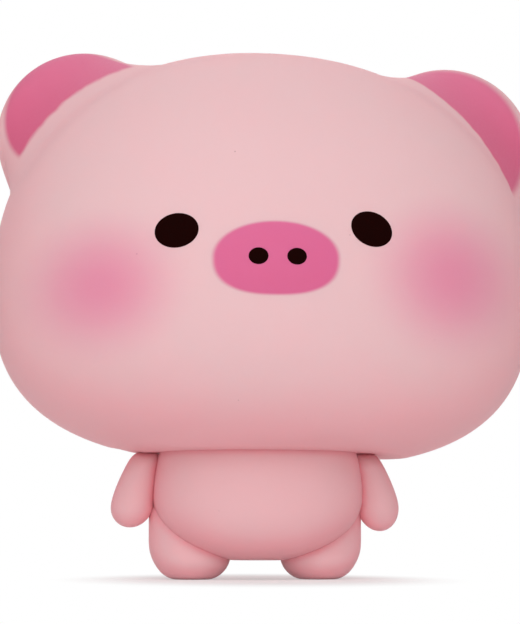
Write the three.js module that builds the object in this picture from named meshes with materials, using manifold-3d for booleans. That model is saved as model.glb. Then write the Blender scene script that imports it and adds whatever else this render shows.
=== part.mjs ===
// Squeeze pig: a hollow soft-vinyl toy that squeaks when its face is pressed in.
// The head turns on a neck collar, the arms and legs turn on snap pegs,
// and a reed squeaker sits between the legs.
// Millimetres, +Z up. The toy stands on z = 0 and faces -Y, with the neck axis on x = y = 0.
// "left" is the toy's own left, which is +X.
import * as THREE from "three";
import { mergeVertices } from "three/addons/utils/BufferGeometryUtils.js";
import Module from "manifold-3d";

const wasm = await Module();
wasm.setup();

// Clearances: between neighbouring pieces, and how far a cutting tool runs past what it cuts
const GAP = 0.3;
const OVERCUT = 2;

// Legs: round stumps that turn in pockets under the torso, set back to stand under the toy's weight
const LEG_RADIUS = 8.8;
const LEG_SPACING = 12.2;
const LEG_SETBACK = 1.8;
const LEG_POCKET_DEPTH = 9.1;
const SOLE_ROUND = 3.8;
const TOE_LENGTH = 2.6;
const TOE_HALF_HEIGHT = 3.4;
const TOE_RISE = 2.5;
const LEG_PEG_RADIUS = 1.6;
const LEG_PEG_LENGTH = 1.6;
const LEG_BALL_RADIUS = 2.2;

// Torso: a barrel with a round belly, as wide as the two legs
const TORSO_BASE_Z = 4.3;
const BELLY_HEIGHT = 14.2;
const CHEST_HEIGHT = 9.5;
const CHEST_TAPER_HEIGHT = 30;
const TORSO_FRONT_DEPTH = 18.5;
const TORSO_BACK_DEPTH = 18;
const TORSO_PLAN_POWER = 2.3;
const TORSO_SIDES = 36;
const BELLY_RINGS = 7;
const CHEST_RINGS = 3;

// Neck: a hollow collar on the torso, with a snap flange above the floor of the head
const NECK_RADIUS = 9;
const NECK_FLANGE = 2;
const NECK_FLANGE_HEIGHT = 2.2;
const AIR_DUCT_RADIUS = 7;

// Arms: drops that hang from snap pegs at the torso's sides
const ARM_SHOULDER_RADIUS = 3.8;
const ARM_HAND_RADIUS = 4.9;
const ARM_LENGTH = 8.1;
const ARM_SPLAY_DEG = 17.3;
const ARM_SHOULDER_OUT = 2.2;
const ARM_PEG_RADIUS = 1.5;
const ARM_PEG_LENGTH = 3.2;
const ARM_BALL_RADIUS = 2;

// Tail: a peg into the back of the torso, then a curl
const TAIL_RADIUS = 1.4;
const TAIL_RISE = 10.7;
const TAIL_PEG_LENGTH = 4;
const TAIL_CURL_RADIUS = 2.9;
const TAIL_CURL_DEG = 400;
const TAIL_CURL_PITCH = 4.6;

// Squeaker: a grille, a flanged cup, and a reed on its block, in a seat between the legs
const SEAT_LIP = 1;
const GRILLE_HEIGHT = 0.9;
const GRILLE_HOLE_RADIUS = 0.6;
const GRILLE_HOLES = 5;
const CUP_FLANGE = 0.7;
const CUP_FLANGE_HEIGHT = 0.9;
const CUP_WALL = 0.9;
const CUP_HEIGHT = 10;
const REED_THICKNESS = 0.5;
const REED_LENGTH = 6.4;
const REED_SIDE_LAND = 1.4;
const REED_CLAMP_LENGTH = 2.2;
const AIR_GROOVE_WIDTH = 1.2;
const AIR_GROOVE_DEPTH = 1;

// Head: a bun-shaped bulb, widest at its waist, with a flat underside
const HEAD_HALF_WIDTH = 61.4;
const HEAD_FRONT_DEPTH = 42.5;
const HEAD_BACK_DEPTH = 44.3;
const HEAD_FLAT_HALF_WIDTH = 33.4;
const JOWL_DROP = 38.7;
const DOME_HEIGHT = 53;
const JOWL_POWER = 2.9;
const DOME_POWER = 2.25;
const HEAD_PLAN_POWER = 2.15;
const HEAD_WALL = 2.6;
const HEAD_OUTSIDE = { sides: 44, domeRings: 10, jowlRings: 6 };
const HEAD_INSIDE = { sides: 30, domeRings: 7, jowlRings: 4 };

// Squeeze: the soft band of the head that folds, from clear of the neck forwards to the face
const NECK_TO_SIDE_WALL = 5;
const SIDE_WALL_WIDTH = 12;

// Ears: thick round lobes plugged into the head's upper corners
const EAR_LEAN_DEG = 37.2;
const EAR_SUNK = 6.9;
const EAR_CENTRE_Y = 4.5;
const EAR_RADIUS = 20.9;
const EAR_HALF_THICKNESS = 8;
const EAR_PEG_RADIUS = 3;
const EAR_PEG_BALL_RADIUS = 3.8;

// Face inlays: each sits in a pocket in the wall and stands a little proud of it
const EYE_X = 20.4;
const EYE_RISE = 6;
const EYE_HALF_WIDTH = 4.4;
const EYE_HALF_HEIGHT = 3.4;
const EYE_DROOP_DEG = 19;
const EYE_SUNK = 1;
const EYE_PROUD = 0.4;
const SNOUT_RISE = -0.5;
const SNOUT_HALF_WIDTH = 13.1;
const SNOUT_HALF_HEIGHT = 7.8;
const SNOUT_POWER = 2.3;
const SNOUT_SUNK = 1.2;
const SNOUT_PROUD = 1.6;
const SNOUT_ROUND = 1.1;
const NOSTRIL_X = 4;
const NOSTRIL_RISE = 0.4;
const NOSTRIL_HALF_WIDTH = 1.9;
const NOSTRIL_HALF_HEIGHT = 1.55;
const NOSTRIL_SUNK = 0.8;
const NOSTRIL_PROUD = 0.2;
const ROUND_OVAL = 2;

// Places that follow from the sizes above
const LEG_X = LEG_SPACING / 2 + LEG_RADIUS;
const LEG_TOP_Z = TORSO_BASE_Z + LEG_POCKET_DEPTH;
const TORSO_HALF_WIDTH = LEG_X + LEG_RADIUS;
const TORSO_WAIST_Z = TORSO_BASE_Z + BELLY_HEIGHT;
const TORSO_TOP_Z = TORSO_WAIST_Z + CHEST_HEIGHT;
const TAIL_Z = TORSO_BASE_Z + TAIL_RISE;
const ARM_PLANE_X = TORSO_HALF_WIDTH + GAP;
const SHOULDER_X = ARM_PLANE_X + ARM_SHOULDER_OUT;
const SHOULDER_Z = TORSO_TOP_Z - GAP - ARM_SHOULDER_RADIUS;
const HEAD_BASE_Z = TORSO_TOP_Z + GAP;
const HEAD_WAIST_Z = HEAD_BASE_Z + JOWL_DROP;
const FLAT_SHARE = HEAD_FLAT_HALF_WIDTH / HEAD_HALF_WIDTH;
const JOWL_HEIGHT = JOWL_DROP / (1 - FLAT_SHARE ** JOWL_POWER) ** (1 / JOWL_POWER);
const SIDE_WALL_BACK_Y = -NECK_RADIUS - NECK_FLANGE - NECK_TO_SIDE_WALL;
const FACE_BACK_Y = SIDE_WALL_BACK_Y - SIDE_WALL_WIDTH;
const EYE_Z = HEAD_WAIST_Z + EYE_RISE;
const SNOUT_Z = HEAD_WAIST_Z + SNOUT_RISE;

// The squeaker's own heights count from the lowest point of the torso.
const FLANGE_RADIUS = LEG_SPACING / 2 - GAP - SEAT_LIP - GAP;
const CUP_RADIUS = FLANGE_RADIUS - CUP_FLANGE;
const CUP_BORE = CUP_RADIUS - CUP_WALL;
const BLOCK_RADIUS = CUP_BORE - GAP;
const CUP_FOOT = GAP + GRILLE_HEIGHT + GAP;
const SEAT_DEPTH = CUP_FOOT + CUP_FLANGE_HEIGHT + GAP;
const CUP_TOP = SEAT_DEPTH + CUP_HEIGHT;
const REED_FOOT = CUP_TOP - GAP - REED_LENGTH;
const CLAMP_FOOT = CUP_TOP - REED_CLAMP_LENGTH;
const REED_HALF_WIDTH = BLOCK_RADIUS - REED_SIDE_LAND;
const REED_FACE = REED_THICKNESS / 2 + GAP;

const BEYOND = 4 * (HEAD_HALF_WIDTH + DOME_HEIGHT);
const SIDES = [
  { name: "left", sign: 1 },
  { name: "right", sign: -1 },
];

const SKIN = { color: "#eab9bd", roughness: 0.55, metalness: 0 };
const DEEP_PINK = { color: "#df6a93", roughness: 0.5, metalness: 0 };
const BLACK = { color: "#1a0806", roughness: 0.35, metalness: 0 };
const WHISTLE = { color: "#f2efe6", roughness: 0.4, metalness: 0 };

const radians = THREE.MathUtils.degToRad;
const degrees = THREE.MathUtils.radToDeg;
const point = (x, y) => new THREE.Vector2(x, y);
const moved = (x, y, z) => new THREE.Matrix4().makeTranslation(x, y, z);
const signedPower = (value, power) => Math.sign(value) * Math.abs(value) ** power;
const steps = (count, make) => Array.from({ length: count }, (_, i) => make(i));

// A closed geometry as a solid that can be cut and joined, placed by a matrix.
function solid(geometry, matrix = new THREE.Matrix4()) {
  const bare = geometry.clone();
  bare.deleteAttribute("normal");
  bare.deleteAttribute("uv");
  bare.applyMatrix4(matrix);
  const merged = mergeVertices(bare, 1e-4);
  return new wasm.Manifold(
    new wasm.Mesh({
      numProp: 3,
      vertProperties: new Float32Array(merged.getAttribute("position").array),
      triVerts: new Uint32Array(merged.index.array),
    }),
  );
}

// A finished solid as a named mesh with its own material.
function piece(name, made, look) {
  const { vertProperties, triVerts } = made.getMesh();
  const geometry = new THREE.BufferGeometry();
  geometry.setAttribute("position", new THREE.BufferAttribute(vertProperties, 3));
  geometry.setIndex(new THREE.BufferAttribute(triVerts, 1));
  geometry.computeVertexNormals();
  const mesh = new THREE.Mesh(geometry, new THREE.MeshStandardMaterial(look));
  mesh.name = name;
  return mesh;
}

// Puts a mesh or a group where a matrix says.
function placed(object, matrix) {
  matrix.decompose(object.position, object.quaternion, object.scale);
  return object;
}

// A round body about Z from a profile of (radius, z) points, listed from the bottom up.
function turned(profile, sides) {
  return new THREE.LatheGeometry(profile, sides).rotateX(Math.PI / 2);
}

// A body about Z whose plan is an oval: profile radii are shares of the half width and the depths.
function ovalTurned(profile, halfWidth, front, back, power, sides) {
  const geometry = turned(profile, sides);
  const position = geometry.getAttribute("position");
  for (let i = 0; i < position.count; i++) {
    const share = Math.hypot(position.getX(i), position.getY(i));
    const angle = Math.atan2(position.getY(i), position.getX(i));
    const depth = angle < 0 ? front : back;
    position.setX(i, halfWidth * share * signedPower(Math.cos(angle), 2 / power));
    position.setY(i, depth * share * signedPower(Math.sin(angle), 2 / power));
  }
  return geometry;
}

function cylinder(radius, low, high, sides = 24) {
  return turned([point(0, low), point(radius, low), point(radius, high), point(0, high)], sides);
}

function box(low, high) {
  const size = high.map((value, axis) => value - low[axis]);
  const centre = high.map((value, axis) => (value + low[axis]) / 2);
  return new THREE.BoxGeometry(...size).translate(...centre);
}

// All of space between two planes across Y.
const slabY = (low, high) => solid(box([-BEYOND, low, -BEYOND], [BEYOND, high, BEYOND]));

// Profile points on an arc, from one angle to another.
function arc(centreR, centreZ, radius, from, to, count) {
  return steps(count + 1, (i) => {
    const angle = radians(from + ((to - from) * i) / count);
    return point(Math.max(0, centreR + radius * Math.cos(angle)), centreZ + radius * Math.sin(angle));
  });
}

// A flat oval with rounded rims. It lies in XY and runs from z = -sunk to z = proud.
function ovalInlay(halfWidth, halfHeight, power, sunk, proud, round, sides) {
  const outline = steps(sides, (i) => {
    const angle = (2 * Math.PI * i) / sides;
    const across = (halfWidth - round) * signedPower(Math.cos(angle), 2 / power);
    const upwards = (halfHeight - round) * signedPower(Math.sin(angle), 2 / power);
    return point(across, upwards);
  });
  const body = new THREE.ExtrudeGeometry(new THREE.Shape(outline), {
    depth: sunk + proud - 2 * round,
    bevelEnabled: round > 0,
    bevelThickness: round,
    bevelSize: round,
    bevelSegments: 2,
  });
  return body.translate(0, 0, round - sunk);
}

// The pocket for an inlay, with its clearance, open to the front.
function pocket(halfWidth, halfHeight, power, sunk, frame) {
  return solid(ovalInlay(halfWidth + GAP, halfHeight + GAP, power, sunk + GAP, OVERCUT, 0, 28), frame);
}

// A snap peg along +Z from z = 0: a straight neck and a ball, grown all round by a clearance.
function snapPeg(neckRadius, neckLength, ballRadius, clearance) {
  const neck = neckRadius + clearance;
  const ball = ballRadius + clearance;
  const meet = -degrees(Math.acos(neck / ball));
  const knob = arc(0, neckLength + ballRadius, ball, meet, 90, 5);
  return turned([point(0, -OVERCUT), point(neck, -OVERCUT), ...knob], 14);
}

// A frame at a place, with its +Z along a direction.
function aimed(from, direction) {
  const turn = new THREE.Quaternion().setFromUnitVectors(new THREE.Vector3(0, 0, 1), direction);
  return new THREE.Matrix4().makeRotationFromQuaternion(turn).setPosition(from);
}

// The head's shape, drawn in on every side by an inset.
function headForm(inset, { sides, domeRings, jowlRings }) {
  const dome = DOME_HEIGHT - inset;
  const jowl = JOWL_HEIGHT - inset;
  const drop = JOWL_DROP - inset;
  const lowest = Math.asin((drop / jowl) ** (JOWL_POWER / 2));
  const lower = steps(jowlRings + 1, (i) => {
    const angle = lowest * (1 - i / jowlRings);
    const z = HEAD_WAIST_Z - jowl * Math.sin(angle) ** (2 / JOWL_POWER);
    return point(Math.cos(angle) ** (2 / JOWL_POWER), z);
  });
  const upper = steps(domeRings - 1, (i) => {
    const angle = (Math.PI / 2) * ((i + 1) / domeRings);
    const z = HEAD_WAIST_Z + dome * Math.sin(angle) ** (2 / DOME_POWER);
    return point(Math.cos(angle) ** (2 / DOME_POWER), z);
  });
  return ovalTurned(
    [point(0, HEAD_WAIST_Z - drop), ...lower, ...upper, point(0, HEAD_WAIST_Z + dome)],
    HEAD_HALF_WIDTH - inset,
    HEAD_FRONT_DEPTH - inset,
    HEAD_BACK_DEPTH - inset,
    HEAD_PLAN_POWER,
    sides,
  );
}

// The y of the face at a place seen from the front.
function faceY(x, z) {
  const [height, power] = z > HEAD_WAIST_Z ? [DOME_HEIGHT, DOME_POWER] : [JOWL_HEIGHT, JOWL_POWER];
  const share = (1 - Math.abs((z - HEAD_WAIST_Z) / height) ** power) ** (1 / power);
  const across = Math.abs(x / HEAD_HALF_WIDTH) ** HEAD_PLAN_POWER;
  return -HEAD_FRONT_DEPTH * (share ** HEAD_PLAN_POWER - across) ** (1 / HEAD_PLAN_POWER);
}

// A frame on the face at (x, z): +Z out of the skin and +X level, then turned about the skin's normal.
function onFace(x, z, turnDeg) {
  const along = new THREE.Vector3(2 * GAP, faceY(x + GAP, z) - faceY(x - GAP, z), 0).normalize();
  const up = new THREE.Vector3(0, faceY(x, z + GAP) - faceY(x, z - GAP), 2 * GAP);
  const out = along.clone().cross(up).normalize();
  const frame = new THREE.Matrix4().makeBasis(along, out.clone().cross(along), out);
  frame.multiply(new THREE.Matrix4().makeRotationZ(radians(turnDeg)));
  return frame.setPosition(x, faceY(x, z), z);
}

// The head's skin in three stretches: the back shell, the soft side wall that folds, and the face
function headSkin() {
  return solid(headForm(0, HEAD_OUTSIDE)).subtract(solid(headForm(HEAD_WALL, HEAD_INSIDE)));
}

function headBackShell() {
  const neckHole = cylinder(NECK_RADIUS + GAP, HEAD_BASE_Z - OVERCUT, HEAD_BASE_Z + HEAD_WALL + OVERCUT);
  let made = headSkin().intersect(slabY(SIDE_WALL_BACK_Y, BEYOND)).subtract(solid(neckHole));
  for (const { sign } of SIDES) made = made.subtract(earPeg(sign, GAP));
  return piece("head_back_shell", made, SKIN);
}

function headSideWall() {
  const made = headSkin().intersect(slabY(FACE_BACK_Y + GAP, SIDE_WALL_BACK_Y - GAP));
  return piece("head_side_wall", made, SKIN);
}

function faceShell() {
  let made = headSkin().intersect(slabY(-BEYOND, FACE_BACK_Y));
  made = made.subtract(pocket(SNOUT_HALF_WIDTH, SNOUT_HALF_HEIGHT, SNOUT_POWER, SNOUT_SUNK, snoutFrame()));
  for (const { sign } of SIDES) {
    made = made.subtract(pocket(EYE_HALF_WIDTH, EYE_HALF_HEIGHT, ROUND_OVAL, EYE_SUNK, eyeFrame(sign)));
  }
  return piece("face_shell", made, SKIN);
}

// Ears: a lobe cut to the head's skin, with a peg through the wall towards the middle of the head
function earLine(sign) {
  const lean = radians(EAR_LEAN_DEG);
  const out = new THREE.Vector3(sign * Math.cos(lean), 0, Math.sin(lean));
  const across = (Math.cos(lean) / HEAD_HALF_WIDTH) ** DOME_POWER;
  const upwards = (Math.sin(lean) / DOME_HEIGHT) ** DOME_POWER;
  const reach = (across + upwards) ** (-1 / DOME_POWER);
  const at = (distance) =>
    out.clone().multiplyScalar(distance).add(new THREE.Vector3(0, EAR_CENTRE_Y, HEAD_WAIST_Z));
  return { root: at(reach), centre: at(reach - EAR_SUNK), inwards: out.clone().negate() };
}

function earPeg(sign, clearance) {
  const { root, inwards } = earLine(sign);
  const peg = snapPeg(EAR_PEG_RADIUS, HEAD_WALL + GAP, EAR_PEG_BALL_RADIUS, clearance);
  return solid(peg, aimed(root, inwards));
}

function ear({ name, sign }) {
  const { centre } = earLine(sign);
  const lobe = new THREE.SphereGeometry(EAR_RADIUS, 30, 18)
    .scale(1, EAR_HALF_THICKNESS / EAR_RADIUS, 1)
    .translate(centre.x, centre.y, centre.z);
  const made = solid(lobe).subtract(solid(headForm(-GAP, HEAD_OUTSIDE))).add(earPeg(sign, 0));
  return piece(`${name}_ear`, made, SKIN);
}

// Face inlays
const eyeFrame = (sign) => onFace(sign * EYE_X, EYE_Z, -sign * EYE_DROOP_DEG);
const snoutFrame = () => onFace(0, SNOUT_Z, 0);
const nostrilFrame = (sign) => snoutFrame().multiply(moved(sign * NOSTRIL_X, NOSTRIL_RISE, SNOUT_PROUD));

function eye({ name, sign }) {
  const round = EYE_PROUD / 2;
  const wafer = ovalInlay(EYE_HALF_WIDTH, EYE_HALF_HEIGHT, ROUND_OVAL, EYE_SUNK, EYE_PROUD, round, 24);
  return placed(piece(`${name}_eye`, solid(wafer), BLACK), eyeFrame(sign));
}

function nostril({ name, sign }) {
  const round = NOSTRIL_PROUD / 2;
  const [halfWidth, halfHeight] = [NOSTRIL_HALF_WIDTH, NOSTRIL_HALF_HEIGHT];
  const wafer = ovalInlay(halfWidth, halfHeight, ROUND_OVAL, NOSTRIL_SUNK, NOSTRIL_PROUD, round, 16);
  return placed(piece(`${name}_nostril`, solid(wafer), BLACK), nostrilFrame(sign));
}

function snoutPad() {
  const [halfWidth, halfHeight] = [SNOUT_HALF_WIDTH, SNOUT_HALF_HEIGHT];
  const pad = ovalInlay(halfWidth, halfHeight, SNOUT_POWER, SNOUT_SUNK, SNOUT_PROUD, SNOUT_ROUND, 32);
  let made = solid(pad, snoutFrame());
  for (const { sign } of SIDES) {
    const seat = nostrilFrame(sign);
    made = made.subtract(pocket(NOSTRIL_HALF_WIDTH, NOSTRIL_HALF_HEIGHT, ROUND_OVAL, NOSTRIL_SUNK, seat));
  }
  return piece("snout_pad", made, DEEP_PINK);
}

// Legs: round stumps with a flat sole, a toe and a snap peg on top
const hip = (sign) => moved(sign * LEG_X, LEG_SETBACK, 0);

function legPeg(clearance, place) {
  const peg = snapPeg(LEG_PEG_RADIUS, LEG_PEG_LENGTH, LEG_BALL_RADIUS, clearance);
  return solid(peg, place.clone().multiply(moved(0, 0, LEG_TOP_Z)));
}

function leg({ name, sign }) {
  const stump = turned(
    [
      point(0, 0),
      ...arc(LEG_RADIUS - SOLE_ROUND, SOLE_ROUND, SOLE_ROUND, -90, 0, 5),
      point(LEG_RADIUS, LEG_TOP_Z - GAP),
      point(LEG_RADIUS - GAP, LEG_TOP_Z),
      point(0, LEG_TOP_Z),
    ],
    24,
  );
  const toe = new THREE.SphereGeometry(1, 20, 10)
    .scale(LEG_RADIUS - GAP, LEG_RADIUS, TOE_HALF_HEIGHT)
    .translate(0, -TOE_LENGTH, TOE_RISE);
  const belowFloor = box([-BEYOND, -BEYOND, -BEYOND], [BEYOND, BEYOND, 0]);
  const foot = solid(stump).add(solid(toe)).subtract(solid(belowFloor));
  const made = foot.add(legPeg(0, new THREE.Matrix4()));
  return placed(piece(`${name}_leg`, made, SKIN), hip(sign));
}

// Arms: a drop along its own length, cut flat where it meets the torso, with a peg into the torso
const shoulder = (sign) => moved(sign * SHOULDER_X, 0, SHOULDER_Z);

function armPeg(sign, clearance, place) {
  const start = new THREE.Vector3(-sign * ARM_SHOULDER_OUT, 0, 0);
  const peg = snapPeg(ARM_PEG_RADIUS, ARM_PEG_LENGTH, ARM_BALL_RADIUS, clearance);
  return solid(peg, place.clone().multiply(aimed(start, new THREE.Vector3(-sign, 0, 0))));
}

function arm({ name, sign }) {
  const meet = degrees(Math.asin((ARM_HAND_RADIUS - ARM_SHOULDER_RADIUS) / ARM_LENGTH));
  const hand = arc(0, -ARM_LENGTH, ARM_HAND_RADIUS, -90, meet, 6);
  const top = arc(0, 0, ARM_SHOULDER_RADIUS, meet, 90, 4);
  const drop = turned([...hand, ...top], 20).rotateY(radians(-sign * ARM_SPLAY_DEG));
  const inner = -sign * ARM_SHOULDER_OUT;
  const torsoSide = box(
    [Math.min(inner, -sign * BEYOND), -BEYOND, -BEYOND],
    [Math.max(inner, -sign * BEYOND), BEYOND, BEYOND],
  );
  const made = solid(drop).subtract(solid(torsoSide)).add(armPeg(sign, 0, new THREE.Matrix4()));
  return placed(piece(`${name}_arm`, made, SKIN), shoulder(sign));
}

// Torso: a barrel with a neck collar, an air duct, pockets for the legs, and seats for the pegs
function torsoForm() {
  const belly = steps(BELLY_RINGS, (i) => {
    const angle = (Math.PI / 2) * (1 - (i + 1) / BELLY_RINGS);
    return point(Math.cos(angle), TORSO_WAIST_Z - BELLY_HEIGHT * Math.sin(angle));
  });
  const top = Math.asin(CHEST_HEIGHT / CHEST_TAPER_HEIGHT);
  const chest = steps(CHEST_RINGS, (i) => {
    const angle = (top * (i + 1)) / CHEST_RINGS;
    return point(Math.cos(angle), TORSO_WAIST_Z + CHEST_TAPER_HEIGHT * Math.sin(angle));
  });
  return ovalTurned(
    [point(0, TORSO_BASE_Z), ...belly, ...chest, point(0, TORSO_TOP_Z)],
    TORSO_HALF_WIDTH,
    TORSO_FRONT_DEPTH,
    TORSO_BACK_DEPTH,
    TORSO_PLAN_POWER,
    TORSO_SIDES,
  );
}

function neckCollar() {
  const lip = HEAD_BASE_Z + HEAD_WALL + GAP;
  const crown = lip + NECK_FLANGE_HEIGHT;
  return turned(
    [
      point(0, TORSO_TOP_Z - OVERCUT),
      point(NECK_RADIUS, TORSO_TOP_Z - OVERCUT),
      point(NECK_RADIUS, lip),
      point(NECK_RADIUS + NECK_FLANGE, lip),
      point(NECK_RADIUS + NECK_FLANGE, lip + NECK_FLANGE_HEIGHT / 2),
      point(NECK_RADIUS, crown),
      point(0, crown),
    ],
    28,
  );
}

function torso() {
  const seatTop = TORSO_BASE_Z + SEAT_DEPTH;
  const cupTop = TORSO_BASE_Z + CUP_TOP;
  let made = solid(torsoForm()).add(solid(neckCollar()));
  made = made.subtract(solid(cylinder(FLANGE_RADIUS + GAP, TORSO_BASE_Z - OVERCUT, seatTop)));
  made = made.subtract(solid(cylinder(CUP_RADIUS + GAP, TORSO_BASE_Z, cupTop + GAP)));
  made = made.subtract(solid(cylinder(AIR_DUCT_RADIUS, cupTop, BEYOND)));
  for (const { sign } of SIDES) {
    const legPocket = cylinder(LEG_RADIUS + GAP, TORSO_BASE_Z - OVERCUT, LEG_TOP_Z + GAP);
    made = made.subtract(solid(legPocket, hip(sign)));
    made = made.subtract(legPeg(GAP, hip(sign)));
    made = made.subtract(armPeg(sign, GAP, shoulder(sign)));
  }
  const tailSocket = cylinder(TAIL_RADIUS + GAP, -TAIL_PEG_LENGTH - GAP, OVERCUT, 14).rotateX(-Math.PI / 2);
  made = made.subtract(solid(tailSocket, tailRoot()));
  return piece("torso", made, SKIN);
}

// Tail: its root is on the torso's back, and its curl winds about a line that points backwards
function tailRoot() {
  const reach = TAIL_Z < TORSO_WAIST_Z ? BELLY_HEIGHT : CHEST_TAPER_HEIGHT;
  const share = Math.sqrt(1 - ((TAIL_Z - TORSO_WAIST_Z) / reach) ** 2);
  return moved(0, TORSO_BACK_DEPTH * share, TAIL_Z);
}

function tail() {
  const count = 9;
  const curl = steps(count, (i) => {
    const angle = radians((TAIL_CURL_DEG * (i + 1)) / count);
    const back = 2 * TAIL_RADIUS + (TAIL_CURL_PITCH * angle) / (2 * Math.PI);
    return new THREE.Vector3(
      TAIL_CURL_RADIUS * Math.sin(angle),
      back,
      TAIL_CURL_RADIUS * (Math.cos(angle) - 1),
    );
  });
  const straight = [-TAIL_PEG_LENGTH, -TAIL_PEG_LENGTH / 2, 0, TAIL_RADIUS].map(
    (y) => new THREE.Vector3(0, y, 0),
  );
  const section = new THREE.Shape().absarc(0, 0, TAIL_RADIUS, 0, 2 * Math.PI);
  const tube = new THREE.ExtrudeGeometry(section, {
    steps: 24,
    curveSegments: 5,
    extrudePath: new THREE.CatmullRomCurve3([...straight, ...curl]),
  });
  return placed(piece("tail", solid(tube), SKIN), tailRoot());
}

// Squeaker
function squeakerGrille() {
  let made = solid(cylinder(FLANGE_RADIUS, GAP, GAP + GRILLE_HEIGHT));
  const ring = CUP_BORE / 2 + GRILLE_HOLE_RADIUS;
  for (let i = 0; i < GRILLE_HOLES; i++) {
    const angle = (2 * Math.PI * i) / GRILLE_HOLES;
    const hole = cylinder(GRILLE_HOLE_RADIUS, -OVERCUT, GRILLE_HEIGHT + OVERCUT, 10);
    made = made.subtract(solid(hole, moved(ring * Math.cos(angle), ring * Math.sin(angle), 0)));
  }
  return piece("squeaker_grille", made, WHISTLE);
}

function squeakerCup() {
  const flangeTop = CUP_FOOT + CUP_FLANGE_HEIGHT;
  const wall = turned(
    [
      point(CUP_BORE, CUP_FOOT),
      point(FLANGE_RADIUS, CUP_FOOT),
      point(FLANGE_RADIUS, flangeTop),
      point(CUP_RADIUS, flangeTop),
      point(CUP_RADIUS, CUP_TOP),
      point(CUP_BORE, CUP_TOP),
      point(CUP_BORE, CUP_FOOT),
    ],
    24,
  );
  return piece("squeaker_cup", solid(wall), WHISTLE);
}

// The block fills the cup at its clamp. Below that only the half behind the reed is left,
// with a groove for air.
function squeakerBlock() {
  const reedSide = box([-BEYOND, -BEYOND, -BEYOND], [BEYOND, REED_FACE, CLAMP_FOOT]);
  const slot = box(
    [-REED_HALF_WIDTH - GAP, -REED_FACE, CLAMP_FOOT - OVERCUT],
    [REED_HALF_WIDTH + GAP, REED_FACE, CUP_TOP + OVERCUT],
  );
  const groove = box(
    [-AIR_GROOVE_WIDTH / 2, 0, REED_FOOT + AIR_GROOVE_DEPTH],
    [AIR_GROOVE_WIDTH / 2, REED_FACE + AIR_GROOVE_DEPTH, CUP_TOP + OVERCUT],
  );
  const made = solid(cylinder(BLOCK_RADIUS, REED_FOOT, CUP_TOP, 20))
    .subtract(solid(reedSide))
    .subtract(solid(slot))
    .subtract(solid(groove));
  return piece("squeaker_block", made, WHISTLE);
}

function squeakerReed() {
  const strip = box(
    [-REED_HALF_WIDTH, -REED_THICKNESS / 2, REED_FOOT],
    [REED_HALF_WIDTH, REED_THICKNESS / 2, REED_FOOT + REED_LENGTH],
  );
  return piece("squeaker_reed", solid(strip), WHISTLE);
}

function squeaker() {
  const group = new THREE.Group();
  group.add(squeakerGrille(), squeakerCup(), squeakerBlock(), squeakerReed());
  return placed(group, moved(0, 0, TORSO_BASE_Z));
}

const face = new THREE.Group();
face.add(faceShell(), snoutPad(), ...SIDES.map(eye), ...SIDES.map(nostril));

const head = new THREE.Group();
head.add(headBackShell(), headSideWall(), ...SIDES.map(ear), face);

const pig = new THREE.Group();
pig.add(torso(), tail(), squeaker(), head, ...SIDES.map(arm), ...SIDES.map(leg));

export default pig;
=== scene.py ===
# %% [markdown]
# # A squeeze pig in soft vinyl
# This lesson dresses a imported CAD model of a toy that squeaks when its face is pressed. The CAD
# model gives the bodies, the joints and the space that each piece may fill, and each cell below
# adds one piece or one finish that fits it. The toy's sizes and places are written in
# millimetres, and MM turns them into Blender's metres.

# %% Load the frame
import math

import bmesh
import bpy
from mathutils import Matrix, Vector
from mathutils.bvhtree import BVHTree


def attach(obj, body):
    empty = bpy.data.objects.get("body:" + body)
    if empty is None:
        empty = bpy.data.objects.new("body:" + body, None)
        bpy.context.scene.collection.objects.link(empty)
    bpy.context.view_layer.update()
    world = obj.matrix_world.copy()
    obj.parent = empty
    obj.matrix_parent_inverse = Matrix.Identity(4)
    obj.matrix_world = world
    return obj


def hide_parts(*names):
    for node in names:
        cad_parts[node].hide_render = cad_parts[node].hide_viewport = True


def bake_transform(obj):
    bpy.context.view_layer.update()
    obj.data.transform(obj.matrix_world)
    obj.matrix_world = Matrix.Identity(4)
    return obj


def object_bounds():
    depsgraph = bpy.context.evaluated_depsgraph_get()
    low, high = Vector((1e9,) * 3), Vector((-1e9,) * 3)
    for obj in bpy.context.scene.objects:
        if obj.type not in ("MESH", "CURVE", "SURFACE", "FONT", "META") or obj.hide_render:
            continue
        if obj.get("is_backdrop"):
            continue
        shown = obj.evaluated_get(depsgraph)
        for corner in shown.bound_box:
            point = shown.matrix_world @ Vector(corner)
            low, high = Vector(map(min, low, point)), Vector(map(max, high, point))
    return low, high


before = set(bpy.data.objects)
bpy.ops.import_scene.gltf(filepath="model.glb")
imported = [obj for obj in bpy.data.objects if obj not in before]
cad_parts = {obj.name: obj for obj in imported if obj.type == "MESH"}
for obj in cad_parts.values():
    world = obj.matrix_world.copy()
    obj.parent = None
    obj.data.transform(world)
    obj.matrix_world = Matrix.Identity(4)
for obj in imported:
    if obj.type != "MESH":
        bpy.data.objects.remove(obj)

MM = 0.001
CAD_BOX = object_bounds()

# %% [markdown]
# ## Camera
# The toy was photographed from the front, a little from its right and from just above the table,
# with a long lens. A lens shift could frame it too, but other views would keep that shift,
# so the camera is tilted up at the toy instead.
# The focal length is in pixels of the frame's long side, because Blender fits the sensor to that side.

# %% Set the camera
FRAME_LONG_SIDE = 624
FOCAL_PIXELS = 1820.6
SENSOR_WIDTH = 36
CAMERA_PLACE = Vector((-36.55, -412.8, 8.9)) * MM
CAMERA_AIM = Vector((0.57, 0.0, 60.7)) * MM


def facing(place, aim):
    """Gives the turn of a camera or a lamp that stands at a place and looks at an aim."""
    return (aim - place).to_track_quat("-Z", "Y").to_euler()


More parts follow.
